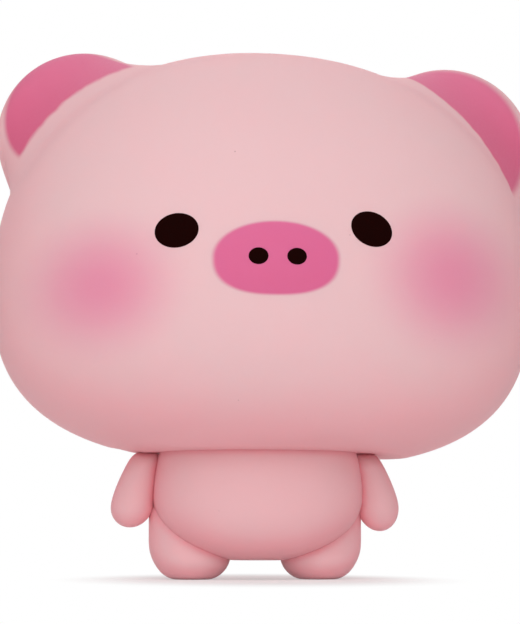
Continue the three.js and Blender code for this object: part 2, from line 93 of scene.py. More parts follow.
lens = bpy.data.cameras.new("camera")
lens.sensor_width = SENSOR_WIDTH
lens.lens = SENSOR_WIDTH * FOCAL_PIXELS / FRAME_LONG_SIDE
camera = bpy.data.objects.new("camera", lens)
camera.location = CAMERA_PLACE
camera.rotation_euler = facing(CAMERA_PLACE, CAMERA_AIM)
bpy.context.collection.objects.link(camera)
bpy.context.scene.camera = camera
print(f"lens {lens.lens:.1f} mm, {(CAMERA_AIM - CAMERA_PLACE).length / MM:.0f} mm from the toy")

# %% [markdown]
# ## Colours and nodes
# Colours are written as sRGB hex codes, the way a paint chart gives them,
# and one function turns them into the linear values that shaders work in.
# One small function adds a node: its inputs are plain values or the outputs of other nodes,
# named as the node editor names them, or numbered where two sockets share a name.
# Noise seldom leaves the middle of its range, so what it drives is stretched over that part.

# %% Colour and node helpers
NOISE_SPAN = {"From Min": 0.3, "From Max": 0.7}


def linear(code):
    """Turns an sRGB hex code into linear red, green and blue, with an alpha of 1."""
    channels = [int(code[i:i + 2], 16) / 255 for i in (1, 3, 5)]
    return (*[c / 12.92 if c <= 0.04045 else ((c + 0.055) / 1.055) ** 2.4 for c in channels], 1)


def add(tree, kind, inputs=None, **settings):
    """Adds a node, applies its settings, and then fills or links its inputs."""
    made = tree.nodes.new(kind)
    for name, value in settings.items():
        setattr(made, name, value)
    for key, value in (inputs or {}).items():
        if isinstance(value, bpy.types.NodeSocket):
            tree.links.new(value, made.inputs[key])
        else:
            made.inputs[key].default_value = value
    return made


def new_material(name):
    """Makes a material with an empty node tree, and gives both."""
    material = bpy.data.materials.new(name)
    material.use_nodes = True
    material.node_tree.nodes.clear()
    return material, material.node_tree


# %% [markdown]
# ## Soft vinyl
# The toy is cast in a turning mould from soft PVC. The skin comes out matte and faintly translucent,
# with a powdery grain, slow waves where the wall varies, and a few specks of dust from the mould.
# The pink is painted paler on the front of each form and deeper where it turns away: painted shade,
# for the light that falls from the front. A plain pink would look like plastic
# from a computer, so the colour also drifts at random between the two pinks, the grain and the waves are
# bumps, and a little light scatters under the surface. Where two forms press together that light
# comes back a warmer pink, so a third pink is painted into the creases as painted shade; a later cell finds
# them.
# The squeeze moves the skin, so patterns read each piece's own rest place, kept in millimetres.
# The real grain is finer than a pixel, so it is drawn at 0.8 mm, where it just shows.

# %% The vinyl's colours and sizes
VINYL_PALE = "#EAC0C3"
# The deeper pink is both the far end of a random drift and painted shade where a form turns away from the
# front.
VINYL_DEEP_TONE_AND_SHADE = "#F9B9BF"
# The crease pink is painted shade: the warm shade that falls between two forms.
CREASE_SHADE_PINK = "#F2A6AE"
BLUSH_PINK = "#E585A4"
DUST_BROWN = "#B58486"
DRIFT_MM, DRIFT_SHARE = 17, 0.12
WAVE_MM, WAVE_HEIGHT = 9, 0.12
GRAIN_MM, GRAIN_HEIGHT, GRAIN_HARSHNESS = 0.8, 0.02, 0.6
SPECK_SPACING_MM, SPECK_RADIUS_MM = 9, 0.16
SPECK_SOFTNESS, SPECK_STRENGTH = 0.5, 0.7
VINYL_SMOOTHEST, VINYL_ROUGHEST = 0.52, 0.64
VINYL_IOR, VINYL_SPECULAR = 1.5, 0.2
SCATTER_WEIGHT, SCATTER_RADIUS, SCATTER_MM = 0.15, (1.0, 0.35, 0.3), 4


# %% The vinyl's colour
def vinyl_colour(tree, place):
    """Runs between the two pinks by painted shade and random drift, paints warm shade into the creases and
    adds the dust.
    """
    drift = add(tree, "ShaderNodeTexNoise", {"Vector": place, "Scale": 1 / DRIFT_MM, "Detail": 2})
    cloud = add(
        tree, "ShaderNodeMapRange",
        {"Value": drift.outputs["Fac"], **NOISE_SPAN, "To Min": -DRIFT_SHARE, "To Max": DRIFT_SHARE},
    ).outputs["Result"]
    # Painted shade where the form turns away from the front, added to the random drift.
    turned_away_shade = add(tree, "ShaderNodeAttribute", attribute_name="turned_away_shade").outputs["Fac"]
    share = add(tree, "ShaderNodeMath", {0: turned_away_shade, 1: cloud}, operation="ADD", use_clamp=True)
    skin = add(
        tree, "ShaderNodeMix",
        {"Factor": share.outputs["Value"], "A": linear(VINYL_PALE), "B": linear(VINYL_DEEP_TONE_AND_SHADE)},
        data_type="RGBA",
    ).outputs["Result"]
    # Painted shade: the creases between forms get a warmer, deeper pink.
    crease_shade = add(tree, "ShaderNodeAttribute", attribute_name="crease_shade").outputs["Fac"]
    crease_shaded = add(
        tree, "ShaderNodeMix", {"Factor": crease_shade, "A": skin, "B": linear(CREASE_SHADE_PINK)}, data_type="RGBA"
    ).outputs["Result"]
    cells = add(tree, "ShaderNodeTexVoronoi", {"Vector": place, "Scale": 1 / SPECK_SPACING_MM})
    speck_edge = SPECK_RADIUS_MM / SPECK_SPACING_MM
    dust = add(
        tree, "ShaderNodeMapRange",
        {
            "Value": cells.outputs["Distance"],
            "From Min": (1 - SPECK_SOFTNESS) * speck_edge, "From Max": (1 + SPECK_SOFTNESS) * speck_edge,
            "To Min": SPECK_STRENGTH, "To Max": 0,
        },
    ).outputs["Result"]
    return add(
        tree, "ShaderNodeMix", {"Factor": dust, "A": crease_shaded, "B": linear(DUST_BROWN)}, data_type="RGBA"
    ).outputs["Result"]


# %% The vinyl's surface
def vinyl_finish(tree, place, colour):
    """Gives a colour the grain, the waves and the soft depth of vinyl."""
    grain = add(
        tree, "ShaderNodeTexNoise",
        {"Vector": place, "Scale": 1 / GRAIN_MM, "Detail": 3, "Roughness": GRAIN_HARSHNESS},
    ).outputs["Fac"]
    waves = add(tree, "ShaderNodeTexNoise", {"Vector": place, "Scale": 1 / WAVE_MM, "Detail": 1})
    rough = add(
        tree, "ShaderNodeMapRange",
        {"Value": grain, **NOISE_SPAN, "To Min": VINYL_SMOOTHEST, "To Max": VINYL_ROUGHEST},
    )
    slow = add(tree, "ShaderNodeBump", {"Height": waves.outputs["Fac"], "Distance": WAVE_HEIGHT * MM})
    fine = add(
        tree, "ShaderNodeBump",
        {"Height": grain, "Distance": GRAIN_HEIGHT * MM, "Normal": slow.outputs["Normal"]},
    )
    shader = add(
        tree, "ShaderNodeBsdfPrincipled",
        {
            "Base Color": colour, "Roughness": rough.outputs["Result"], "Normal": fine.outputs["Normal"],
            "IOR": VINYL_IOR, "Specular IOR Level": VINYL_SPECULAR,
            "Subsurface Weight": SCATTER_WEIGHT, "Subsurface Radius": SCATTER_RADIUS,
            "Subsurface Scale": SCATTER_MM * MM,
        },
    )
    add(tree, "ShaderNodeOutputMaterial", {"Surface": shader.outputs["BSDF"]})


def soft_vinyl(name):
    """Makes the bare skin, with the sprayed blush where a piece has any."""
    material, tree = new_material(name)
    place = add(tree, "ShaderNodeAttribute", attribute_name="rest_place").outputs["Vector"]
    blush = add(tree, "ShaderNodeAttribute", attribute_name="blush").outputs["Fac"]
    colour = add(
        tree, "ShaderNodeMix",
        {"Factor": blush, "A": vinyl_colour(tree, place), "B": linear(BLUSH_PINK)}, data_type="RGBA",
    )
    vinyl_finish(tree, place, colour.outputs["Result"])
    return material


VINYL = soft_vinyl("rotocast_soft_vinyl")
print("made", VINYL.name)

# %% [markdown]
# ## Round bodies
# The head, the torso, the legs and the arms all begin as a profile turned about an axis,
# like clay on a wheel. The spin operator does that; then the round plan is pressed into an oval
# by moving the vertices. A full spin merges its last ring with the first, and the poles are merged after it.

# %% Turning helpers
MERGE_DISTANCE = 0.001
PRESS_BLEND, ROUND_MARGIN = 1.0, 0.5


def spun(profile, steps):
    """Turns a profile of (radius, height) points about the upright axis."""
    bm = bmesh.new()
    verts = [bm.verts.new((radius * MM, 0, height * MM)) for radius, height in profile]
    edges = [bm.edges.new(pair) for pair in zip(verts, verts[1:])]
    bmesh.ops.spin(
        bm, geom=verts + edges, cent=(0, 0, 0), axis=(0, 0, 1), angle=2 * math.pi, steps=steps, use_merge=True
    )
    bmesh.ops.remove_doubles(bm, verts=bm.verts, dist=MERGE_DISTANCE * MM)
    bmesh.ops.recalc_face_normals(bm, faces=bm.faces)
    return bm


def quarter(count):
    """Gives the angles that cut a quarter turn into equal steps, without the angle 0."""
    return [math.pi / 2 * i / count for i in range(1, count + 1)]


def power(value, exponent):
    """Raises a value to a power and keeps its sign."""
    return math.copysign(abs(value) ** exponent, value)


def between(start, end, share):
    return start + (end - start) * share


def smoothstep(value, low, high):
    t = min(1, max(0, (value - low) / (high - low)))
    return t * t * (3 - 2 * t)


def press_oval(bm, half_width, front, back, plan_power, round_radius):
    """Presses a round body into an oval plan; round_radius gives what stays round at a height."""
    for v in bm.verts:
        radius = math.hypot(v.co.x, v.co.y)
        angle = math.atan2(v.co.y, v.co.x)
        depth = front if angle < 0 else back
        core = round_radius(v.co.z / MM)
        pressed = smoothstep(radius / MM, core, core + PRESS_BLEND) if core else 1
        oval_x = radius * power(math.cos(angle), 2 / plan_power)
        oval_y = radius * depth / half_width * power(math.sin(angle), 2 / plan_power)
        v.co.x = between(v.co.x, oval_x, pressed)
        v.co.y = between(v.co.y, oval_y, pressed)


# %% Make a shape a piece
# Painted shade: none where a surface faces this way, towards the light in front, and full where it turns
# away.
FACE_WAY = Vector((-0.05, -0.95, 0.24)).normalized()
UNSHADED_FACING, FULL_SHADE_FACING = 0.95, 0.32


def piece(name, bm, material):
    """Keeps each vertex's rest place and how much painted shade it gets for turning from the front, and makes
    the shape an object.
    """
    rest = bm.verts.layers.float_vector.new("rest_place")
    turned_away_shade = bm.verts.layers.float.new("turned_away_shade")
    for v in bm.verts:
        v[rest] = v.co / MM
        v[turned_away_shade] = 1 - smoothstep(v.normal.dot(FACE_WAY), FULL_SHADE_FACING, UNSHADED_FACING)
    for face in bm.faces:
        face.smooth = True
    mesh = bpy.data.meshes.new(name)
    bm.to_mesh(mesh)
    mesh.materials.append(material)
    made = bpy.data.objects.new(name, mesh)
    bpy.context.collection.objects.link(made)
    size = [round(max(axis) - min(axis), 1) for axis in zip(*[v.co / MM for v in bm.verts])]
    print(f"{name}: {len(mesh.polygons)} faces, {size} mm")
    return made


# %% [markdown]
# ## Head
# The head is one soft bulb, widest at its waist, with a flat underside and a socket for the neck.
# Two super-ellipses give its profile: a squarer one for the jowls and a rounder one for the dome.
# A sphere would be quicker, but its cheeks would be too thin and its forehead too steep.
# On the photographed toy the bulb leans about two degrees, 0.035 radians, while the printed face is level.
# So the vertices lean, but the middle of the underside stays flat, where it turns on the torso and the arms.

# %% Head profile
HEAD_HALF_WIDTH = 61.4
HEAD_FRONT, HEAD_BACK = 42.5, 44.3
HEAD_BASE, HEAD_WAIST = 28.3, 67.0
DOME_HEIGHT, DOME_POWER, DOME_RINGS = 53.0, 2.15, 56
JOWL_HEIGHT, JOWL_POWER, JOWL_RINGS = 41.3, 2.85, 40
HEAD_PLAN_POWER, HEAD_STEPS = 2.15, 160
SOCKET_RADIUS, SOCKET_TOP, SOCKET_EDGE = 9.3, 33.7, 0.4
UNDERSIDE_RADII = (16, 21, 26)
UNDERSIDE_TURN = ((30, 0.03), (32.5, 0.16))


def head_profile():
    """Goes from the socket's ceiling over the underside and the jowls to the crown."""
    points = [(0, SOCKET_TOP), (SOCKET_RADIUS, SOCKET_TOP), (SOCKET_RADIUS, HEAD_BASE + SOCKET_EDGE)]
    points.append((SOCKET_RADIUS + SOCKET_EDGE, HEAD_BASE))
    points += [(radius, HEAD_BASE) for radius in UNDERSIDE_RADII]
    points += [(radius, HEAD_BASE + rise) for radius, rise in UNDERSIDE_TURN]
    lowest = math.asin(((HEAD_WAIST - HEAD_BASE) / JOWL_HEIGHT) ** (JOWL_POWER / 2))
    for i in range(1, JOWL_RINGS + 1):
        angle = lowest * (1 - i / JOWL_RINGS)
        radius = HEAD_HALF_WIDTH * math.cos(angle) ** (2 / JOWL_POWER)
        points.append((radius, HEAD_WAIST - JOWL_HEIGHT * math.sin(angle) ** (2 / JOWL_POWER)))
    for angle in quarter(DOME_RINGS):
        radius = HEAD_HALF_WIDTH * max(0, math.cos(angle)) ** (2 / DOME_POWER)
        points.append((radius, HEAD_WAIST + DOME_HEIGHT * math.sin(angle) ** (2 / DOME_POWER)))
    points[-1] = (0, HEAD_WAIST + DOME_HEIGHT)
    return points


# %% Turn and lean the head
HEAD_LEAN = -0.035
LEAN_FULL_RISE = 25
LEVEL_REACH, LEAN_FULL_REACH = 26, 33


def lean(co):
    """Turns a place about the middle of the underside, less the nearer it is to that middle."""
    rise = co.z - HEAD_BASE * MM
    low = 1 - smoothstep(rise / MM, 0, LEAN_FULL_RISE)
    near_axis = 1 - smoothstep(math.hypot(co.x, co.y) / MM, LEVEL_REACH, LEAN_FULL_REACH)
    angle = HEAD_LEAN * (1 - low * near_axis)
    return Vector((
        co.x * math.cos(angle) - rise * math.sin(angle),
        co.y,
        HEAD_BASE * MM + co.x * math.sin(angle) + rise * math.cos(angle),
    ))


def head_round_radius(height):
    return SOCKET_RADIUS + ROUND_MARGIN if height < HEAD_WAIST else 0


head_bm = spun(head_profile(), HEAD_STEPS)
press_oval(head_bm, HEAD_HALF_WIDTH, HEAD_FRONT, HEAD_BACK, HEAD_PLAN_POWER, head_round_radius)
for v in head_bm.verts:
    v.co = lean(v.co)
head_bm.normal_update()
HEAD_SURFACE = BVHTree.FromBMesh(head_bm)
print("turned the head with", len(head_bm.verts), "vertices")

# %% [markdown]
# ## Blush
# The cheeks are airbrushed: a small strong core in a wide thin haze, with no edge.
# The two were sprayed by hand, so they differ a little in place and size.
# The spray is kept on the vertices, so that it stays on the skin when the face is pressed in.

# %% Airbrush the cheeks
CHEEKS = (
    {"x": 38.5, "z": 64.3, "reach_x": 20.5, "reach_z": 18.5},
    {"x": -36.2, "z": 61.6, "reach_x": 19.0, "reach_z": 16.8},
)
CORE_STRENGTH, CORE_FROM, CORE_END = 0.42, 0.05, 0.75
HAZE_STRENGTH, HAZE_FROM, HAZE_END = 0.41, 0.45, 1.08

blush = head_bm.verts.layers.float.new("blush")
for v in head_bm.verts:
    for cheek in CHEEKS:
        aside = (v.co.x / MM - cheek["x"]) / cheek["reach_x"]
        above = (v.co.z / MM - cheek["z"]) / cheek["reach_z"]
        away = math.hypot(aside, above)
        if v.co.y < 0 and away < HAZE_END:
            core = CORE_STRENGTH * (1 - smoothstep(away, CORE_FROM, CORE_END))
            v[blush] = core + HAZE_STRENGTH * (1 - smoothstep(away, HAZE_FROM, HAZE_END))
print("sprayed", sum(v[blush] > 0 for v in head_bm.verts), "vertices of the cheeks")

# %% [markdown]
# ## The head as a piece
# The real head is one skin, so it stands for three CAD nodes: the back shell, the side wall and the face.
# A joint presses the face in.

head = piece("head_skin", head_bm, VINYL)
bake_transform(head)
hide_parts("head_back_shell", "head_side_wall", "face_shell")

# %% [markdown]
# ## Ears
# Each ear is a thick round lobe that flows out of the head's upper corner in a wide fillet.
# A boolean would fuse it to the head, but the ears are pieces of their own here.
# So the lobe's vertices that come close to the head are pushed along the head's skin,
# more the closer they are, which draws the root out. In front the push follows a quarter circle,
# so that the root runs far out on the forehead and lands level with it. Where it lands the lobe also takes on
# the head's normals, so that the light runs softly over the joint.

# %% Ear shape
EAR_HALF_THICKNESS, EAR_Y, EAR_FULLNESS = 8.0, 4.5, 2.2
EAR_CENTRES = {"left": Vector((45.3, EAR_Y, 99.2)), "right": Vector((-39.8, EAR_Y, 101.3))}
EAR_RADII = {"left": 20.5, "right": 20.3}
EAR_SEGMENTS, EAR_RINGS = 192, 220


def ear_shape(centre, radius):
    """Presses a ball into a lobe whose poles are the middles of its front and back."""
    bm = bmesh.new()
    bmesh.ops.create_uvsphere(bm, u_segments=EAR_SEGMENTS, v_segments=EAR_RINGS, radius=1)
    for v in bm.verts:
        rim = min(1, math.hypot(v.co.x, v.co.y))
        thick = math.copysign((1 - rim ** EAR_FULLNESS) ** (1 / EAR_FULLNESS), v.co.z)
        v.co = (Vector((v.co.x * radius, -thick * EAR_HALF_THICKNESS, v.co.y * radius)) + centre) * MM
    bmesh.ops.remove_doubles(bm, verts=bm.verts, dist=MERGE_DISTANCE * MM)
    bmesh.ops.recalc_face_normals(bm, faces=bm.faces)
    bm.normal_update()
    return bm


# %% Ear root
RIM_RISE, RIM_SPREAD = 7.0, {"left": 5.0, "right": 1.8}
FRONT_RISE, FRONT_SPREAD = 11.0, 17.0
FRONT_FROM, FRONT_FULL = 0.55, 0.97
ROOT_DEPTH, WELD_RISE = 6.0, 0.8
TOUCH_GAP = 0.01


def over(surface, spot):
    """Gives the nearest place on a surface, the way out from there and the spot's height over it."""
    near, out, _, gap = surface.find_nearest(spot)
    side = math.copysign(1, (spot - near).dot(out))
    way = (spot - near) * side / gap if gap > TOUCH_GAP * MM else out
    return near, way, side * gap / MM


def draw_out_root(bm, surface, rim_spread):
    """Pushes the lobe's root out along a surface and gives it that surface's normals where it lands."""
    moves = []
    for v in bm.verts:
        _, out, height = over(surface, v.co)
        if -ROOT_DEPTH < height < FRONT_RISE:
            at_rim = 1 - min(1, max(0, height) / RIM_RISE)
            in_front = 1 - max(0, height) / FRONT_RISE
            rim_push = rim_spread * at_rim ** 2
            front_push = FRONT_SPREAD * (1 - math.sqrt(1 - in_front ** 2))
            push = between(rim_push, front_push, smoothstep(-v.normal.y, FRONT_FROM, FRONT_FULL))
            along = v.normal - v.normal.dot(out) * out
            moves.append((v, height, along * push * smoothstep(height, -ROOT_DEPTH, 0) * MM))
    welds = []
    for v, height, move in moves:
        near, out, _ = over(surface, v.co + move)
        v.co = near + out * height * MM
        welds.append((v, out, 1 - smoothstep(height, 0, WELD_RISE)))
    bm.normal_update()
    for v, out, share in welds:
        v.normal = v.normal.lerp(out, share).normalized()


# %% [markdown]
# ## Sprayed ear paint
# The front of each ear was sprayed deep pink through a mask. The mask sat a little differently each time:
# on one ear the paint stops short of the head in a soft line, on the other it runs right to the root.
# The paint's inner edge is an arc and its outer edge is a disc a little smaller than the ear,
# where the spray thins out. Noise moves the inner edge, because a hand-held mask never closes tightly.
# Both edges are measured in the flat plane of the mask, so depth doesn't bend them.

# %% Edges of the ear paint
RAGGED_MM = 3.2


def inner_edge(tree, flat, arc_centre, arc_radius, edge_mm, ragged_mm):
    """Lets paint through outside an arc about a place on the head."""
    ragged = add(tree, "ShaderNodeTexNoise", {"Vector": flat, "Scale": 1 / RAGGED_MM, "Detail": 1})
    wobble = add(
        tree, "ShaderNodeMapRange",
        {"Value": ragged.outputs["Fac"], **NOISE_SPAN, "To Min": -ragged_mm, "To Max": ragged_mm},
    ).outputs["Result"]
    centre = (arc_centre[0], 0, arc_centre[1])
    away = add(tree, "ShaderNodeVectorMath", {0: flat, 1: centre}, operation="DISTANCE").outputs["Value"]
    moved = add(tree, "ShaderNodeMath", {0: away, 1: wobble}, operation="ADD")
    return add(
        tree, "ShaderNodeMapRange",
        {
            "Value": moved.outputs["Value"],
            "From Min": arc_radius - edge_mm / 2, "From Max": arc_radius + edge_mm / 2,
        },
        interpolation_type="SMOOTHSTEP",
    ).outputs["Result"]


def outer_edge(tree, flat, disc, disc_radius, soft_mm):
    """Lets paint through inside a disc about the ear's middle."""
    away = add(tree, "ShaderNodeVectorMath", {0: flat, 1: disc}, operation="DISTANCE").outputs["Value"]
    return add(
        tree, "ShaderNodeMapRange",
        {
            "Value": away, "To Min": 1, "To Max": 0,
            "From Min": disc_radius - soft_mm / 2, "From Max": disc_radius + soft_mm / 2,
        },
        interpolation_type="SMOOTHSTEP",
    ).outputs["Result"]


# %% Ear paint material
# The lower pink is painted shade: the sprayed paint is darker towards the bottom, where less light falls.
SPRAY_PINK, SPRAY_PINK_SHADED = "#E07798", "#DC587F"
PAINT_FRONT_Y, PAINT_BACK_Y = EAR_Y - 2.5, EAR_Y - 0.5


def painted_ear(name, middle, arc_centre, arc_radius, edge_mm, ragged_mm, disc_shift, disc_radius, soft_mm):
    """Sprays the front of an ear between the two edges, over bare vinyl, with painted shade that darkens it
    towards the bottom.
    """
    material, tree = new_material(name)
    place = add(tree, "ShaderNodeAttribute", attribute_name="rest_place").outputs["Vector"]
    flat = add(tree, "ShaderNodeVectorMath", {0: place, 1: (1, 0, 1)}, operation="MULTIPLY").outputs["Vector"]
    disc = (middle.x + disc_shift[0], 0, middle.z + disc_shift[1])
    inner = inner_edge(tree, flat, arc_centre, arc_radius, edge_mm, ragged_mm)
    outer = outer_edge(tree, flat, disc, disc_radius, soft_mm)
    spot = add(tree, "ShaderNodeSeparateXYZ", {"Vector": place})
    front = add(
        tree, "ShaderNodeMapRange",
        {
            "Value": spot.outputs["Y"], "From Min": PAINT_FRONT_Y, "From Max": PAINT_BACK_Y,
            "To Min": 1, "To Max": 0,
        },
        interpolation_type="SMOOTHSTEP",
    ).outputs["Result"]
    both = add(tree, "ShaderNodeMath", {0: inner, 1: outer}, operation="MULTIPLY").outputs["Value"]
    mask = add(tree, "ShaderNodeMath", {0: both, 1: front}, operation="MULTIPLY").outputs["Value"]
    # Painted shade: the paint darkens from the top of the disc to its bottom.
    height = add(
        tree, "ShaderNodeMapRange",
        {"Value": spot.outputs["Z"], "From Min": disc[2] - disc_radius, "From Max": disc[2] + disc_radius},
    ).outputs["Result"]
    pink = add(
        tree, "ShaderNodeMix",
        {"Factor": height, "A": linear(SPRAY_PINK_SHADED), "B": linear(SPRAY_PINK)}, data_type="RGBA",
    ).outputs["Result"]
    colour = add(
        tree, "ShaderNodeMix",
        {"Factor": mask, "A": vinyl_colour(tree, place), "B": pink}, data_type="RGBA",
    ).outputs["Result"]
    vinyl_finish(tree, place, colour)
    return material


# %% Make the ears
EAR_MASKS = {
    "left": {
        "arc_centre": (-9.0, 58.7), "arc_radius": 71.6, "edge_mm": 0.9, "ragged_mm": 0.15,
        "disc_shift": (-1.4, 1.1), "disc_radius": 18.9, "soft_mm": 2.6,
    },
    "right": {
        "arc_centre": (-14.6, 73.3), "arc_radius": 44.9, "edge_mm": 1.4, "ragged_mm": 0.2,
        "disc_shift": (-1.9, 3.6), "disc_radius": 16.6, "soft_mm": 1.5,
    },
}
for side, centre in EAR_CENTRES.items():
    bm = ear_shape(centre, EAR_RADII[side])
    draw_out_root(bm, HEAD_SURFACE, RIM_SPREAD[side])
    paint = painted_ear(f"sprayed_soft_vinyl_{side}", centre, **EAR_MASKS[side])
    ear = piece(f"{side}_ear_lobe", bm, paint)
    ear.data.normals_split_custom_set_from_vertices([v.normal for v in bm.verts])
    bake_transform(ear)
    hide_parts(f"{side}_ear")

# %% [markdown]
# ## Snout
# The snout is a low oval cushion in the face, rounder above than below, sprayed deep pink.
# It is turned as a flat lens and then draped: each vertex is laid on the face by a ray from the front,
# and lifted along the skin's normal. Its edge runs out level with the skin, so no rim shows round it.

# %% Draping helpers
RAY_START_Y = -200


def drape(bm, surface, x, z):
    """Lays a flat lens, drawn in XY with its height in Z, on a surface that faces forwards."""
    for v in bm.verts:
        start = Vector((x * MM + v.co.x, RAY_START_Y * MM, z * MM + v.co.y))
        hit, out, _, _ = surface.ray_cast(start, Vector((0, 1, 0)))
        v.co = hit + out * v.co.z
    bmesh.ops.recalc_face_normals(bm, faces=bm.faces)
    bm.normal_update()


def oval_plan(bm, half_width, half_height, top_power, foot_power):
    """Stretches a lens turned at a radius of 1 mm into an oval whose two halves may differ."""
    for v in bm.verts:
        share = math.hypot(v.co.x, v.co.y) / MM
        angle = math.atan2(v.co.y, v.co.x)
        plan_power = top_power if angle > 0 else foot_power
        v.co.x = half_width * MM * share * power(math.cos(angle), 2 / plan_power)
        v.co.y = half_height * MM * share * power(math.sin(angle), 2 / plan_power)


# %% Snout material
SNOUT_X, SNOUT_Z = 0.2, 66.75
SNOUT_HALF_WIDTH, SNOUT_HALF_HEIGHT = 14.3, 8.4
# The lower pink is painted shade: the snout is a hair darker towards the bottom.
SNOUT_PINK, SNOUT_PINK_SHADED = "#DE6996", "#DD6692"


def sprayed_snout(name):
    """Sprays deep pink over bare vinyl, as far as the piece's paint attribute says, with painted shade a hair
    darker towards the bottom.
    """
    material, tree = new_material(name)
    place = add(tree, "ShaderNodeAttribute", attribute_name="rest_place").outputs["Vector"]
    paint = add(tree, "ShaderNodeAttribute", attribute_name="paint").outputs["Fac"]
    height = add(tree, "ShaderNodeSeparateXYZ", {"Vector": place}).outputs["Z"]
    # Painted shade: darker towards the bottom of the snout.
    fall = add(
        tree, "ShaderNodeMapRange",
        {
            "Value": height,
            "From Min": SNOUT_Z - SNOUT_HALF_HEIGHT, "From Max": SNOUT_Z + SNOUT_HALF_HEIGHT,
        },
    ).outputs["Result"]
    pink = add(
        tree, "ShaderNodeMix",
        {"Factor": fall, "A": linear(SNOUT_PINK_SHADED), "B": linear(SNOUT_PINK)}, data_type="RGBA",
    ).outputs["Result"]
    colour = add(
        tree, "ShaderNodeMix",
        {"Factor": paint, "A": vinyl_colour(tree, place), "B": pink}, data_type="RGBA",
    ).outputs["Result"]
    vinyl_finish(tree, place, colour)
    return material


# %% Make the snout
SNOUT_TOP_POWER, SNOUT_FOOT_POWER = 2.05, 2.5
SNOUT_RELIEF, SNOUT_SINK, SNOUT_DEPTH, SNOUT_EASE = 0.8, 0.02, 1.2, 1.5
SNOUT_RINGS, SNOUT_STEPS = 36, 96
SNOUT_BACK_RADII = (0, 0.5, 0.97)
PAINT_FULL, PAINT_END = 0.87, 0.965


def snout_profile():
    """Goes from the hidden back of a lens of radius 1 round its edge to the middle of its front."""
    points = [(share, -SNOUT_DEPTH) for share in SNOUT_BACK_RADII]
    points.append((1, -SNOUT_DEPTH / 2))
    for angle in [0] + quarter(SNOUT_RINGS):
        share = math.cos(angle)
        points.append((share, SNOUT_RELIEF * (1 - share ** 2) ** SNOUT_EASE - SNOUT_SINK))
    points[-1] = (0, SNOUT_RELIEF - SNOUT_SINK)
    return points


snout_bm = spun(snout_profile(), SNOUT_STEPS)
paint = snout_bm.verts.layers.float.new("paint")
for v in snout_bm.verts:
    v[paint] = 1 - smoothstep(math.hypot(v.co.x, v.co.y) / MM, PAINT_FULL, PAINT_END)
oval_plan(snout_bm, SNOUT_HALF_WIDTH, SNOUT_HALF_HEIGHT, SNOUT_TOP_POWER, SNOUT_FOOT_POWER)
drape(snout_bm, HEAD_SURFACE, SNOUT_X, SNOUT_Z)
SNOUT_SURFACE = BVHTree.FromBMesh(snout_bm)
snout = piece("snout_cushion", snout_bm, sprayed_snout("sprayed_deep_pink_vinyl"))
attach(snout, "face")
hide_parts("snout_pad")

# %% [markdown]
# ## Eyes and nostrils
# Eyes and nostrils are pad-printed in brown-black ink: flat, matte, with a hair of thickness.
# Each is the same thin lens, stretched to its own oval and draped on what carries it.
# The lens's profile pairs a share of the radius with a height in millimetres.
# The ink is not a pure black, and its roughness drifts as thick printing ink does when it dries.

# %% Ink
INK_DARK, INK_WARM = "#130201", "#1C0403"
INK_BLOTCH_MM, INK_BLOTCH_HEIGHT = 1.4, 0.01
INK_SMOOTHEST, INK_ROUGHEST = 0.7, 0.85
INK_IOR, INK_SPECULAR = 1.48, 0.02


def printing_ink(name):
    material, tree = new_material(name)
    place = add(tree, "ShaderNodeAttribute", attribute_name="rest_place").outputs["Vector"]
    blotch = add(
        tree, "ShaderNodeTexNoise", {"Vector": place, "Scale": 1 / INK_BLOTCH_MM, "Detail": 2}
    ).outputs["Fac"]
    colour = add(
        tree, "ShaderNodeMix",
        {"Factor": blotch, "A": linear(INK_DARK), "B": linear(INK_WARM)}, data_type="RGBA",
    )
    rough = add(
        tree, "ShaderNodeMapRange",
        {"Value": blotch, **NOISE_SPAN, "To Min": INK_SMOOTHEST, "To Max": INK_ROUGHEST},
    )
    bump = add(tree, "ShaderNodeBump", {"Height": blotch, "Distance": INK_BLOTCH_HEIGHT * MM})
    shader = add(
        tree, "ShaderNodeBsdfPrincipled",
        {
            "Base Color": colour.outputs["Result"], "Roughness": rough.outputs["Result"],
            "Normal": bump.outputs["Normal"], "IOR": INK_IOR, "Specular IOR Level": INK_SPECULAR,
        },
    )
    add(tree, "ShaderNodeOutputMaterial", {"Surface": shader.outputs["BSDF"]})
    return material


INK = printing_ink("pad_printed_ink")
print("made", INK.name)

# %% Print the eyes and nostrils
EYES = {"left": {"x": 20.4, "z": 73.35, "turn_deg": -22}, "right": {"x": -20.4, "z": 72.55, "turn_deg": 10}}
EYE_HALF_WIDTH, EYE_HALF_HEIGHT = 4.55, 3.65
NOSTRILS = {"left": {"x": 4.4, "z": 67.0, "turn_deg": 0}, "right": {"x": -3.6, "z": 67.0, "turn_deg": 0}}
NOSTRIL_HALF_WIDTH, NOSTRIL_HALF_HEIGHT = 2.05, 1.75
PRINT_PROFILE = [
    (0, -0.6), (0.95, -0.6), (1.0, -0.3), (1.0, 0.02), (0.985, 0.08), (0.95, 0.12), (0.85, 0.16), (0.6, 0.2),
    (0.3, 0.22), (0, 0.22),
]
PRINT_STEPS, PRINT_PLAN_POWER = 72, 2


def print_spot(name, surface, half_width, half_height, x, z, turn_deg):
    """Lays one oval of ink on a surface, turned in the plane of the face."""
    bm = spun(PRINT_PROFILE, PRINT_STEPS)
    oval_plan(bm, half_width, half_height, PRINT_PLAN_POWER, PRINT_PLAN_POWER)
    turn = Matrix.Rotation(math.radians(turn_deg), 3, "Z")
    bmesh.ops.rotate(bm, verts=bm.verts, cent=(0, 0, 0), matrix=turn)
    drape(bm, surface, x, z)
    spot = piece(f"{name}_print", bm, INK)
    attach(spot, "face")
    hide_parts(name)


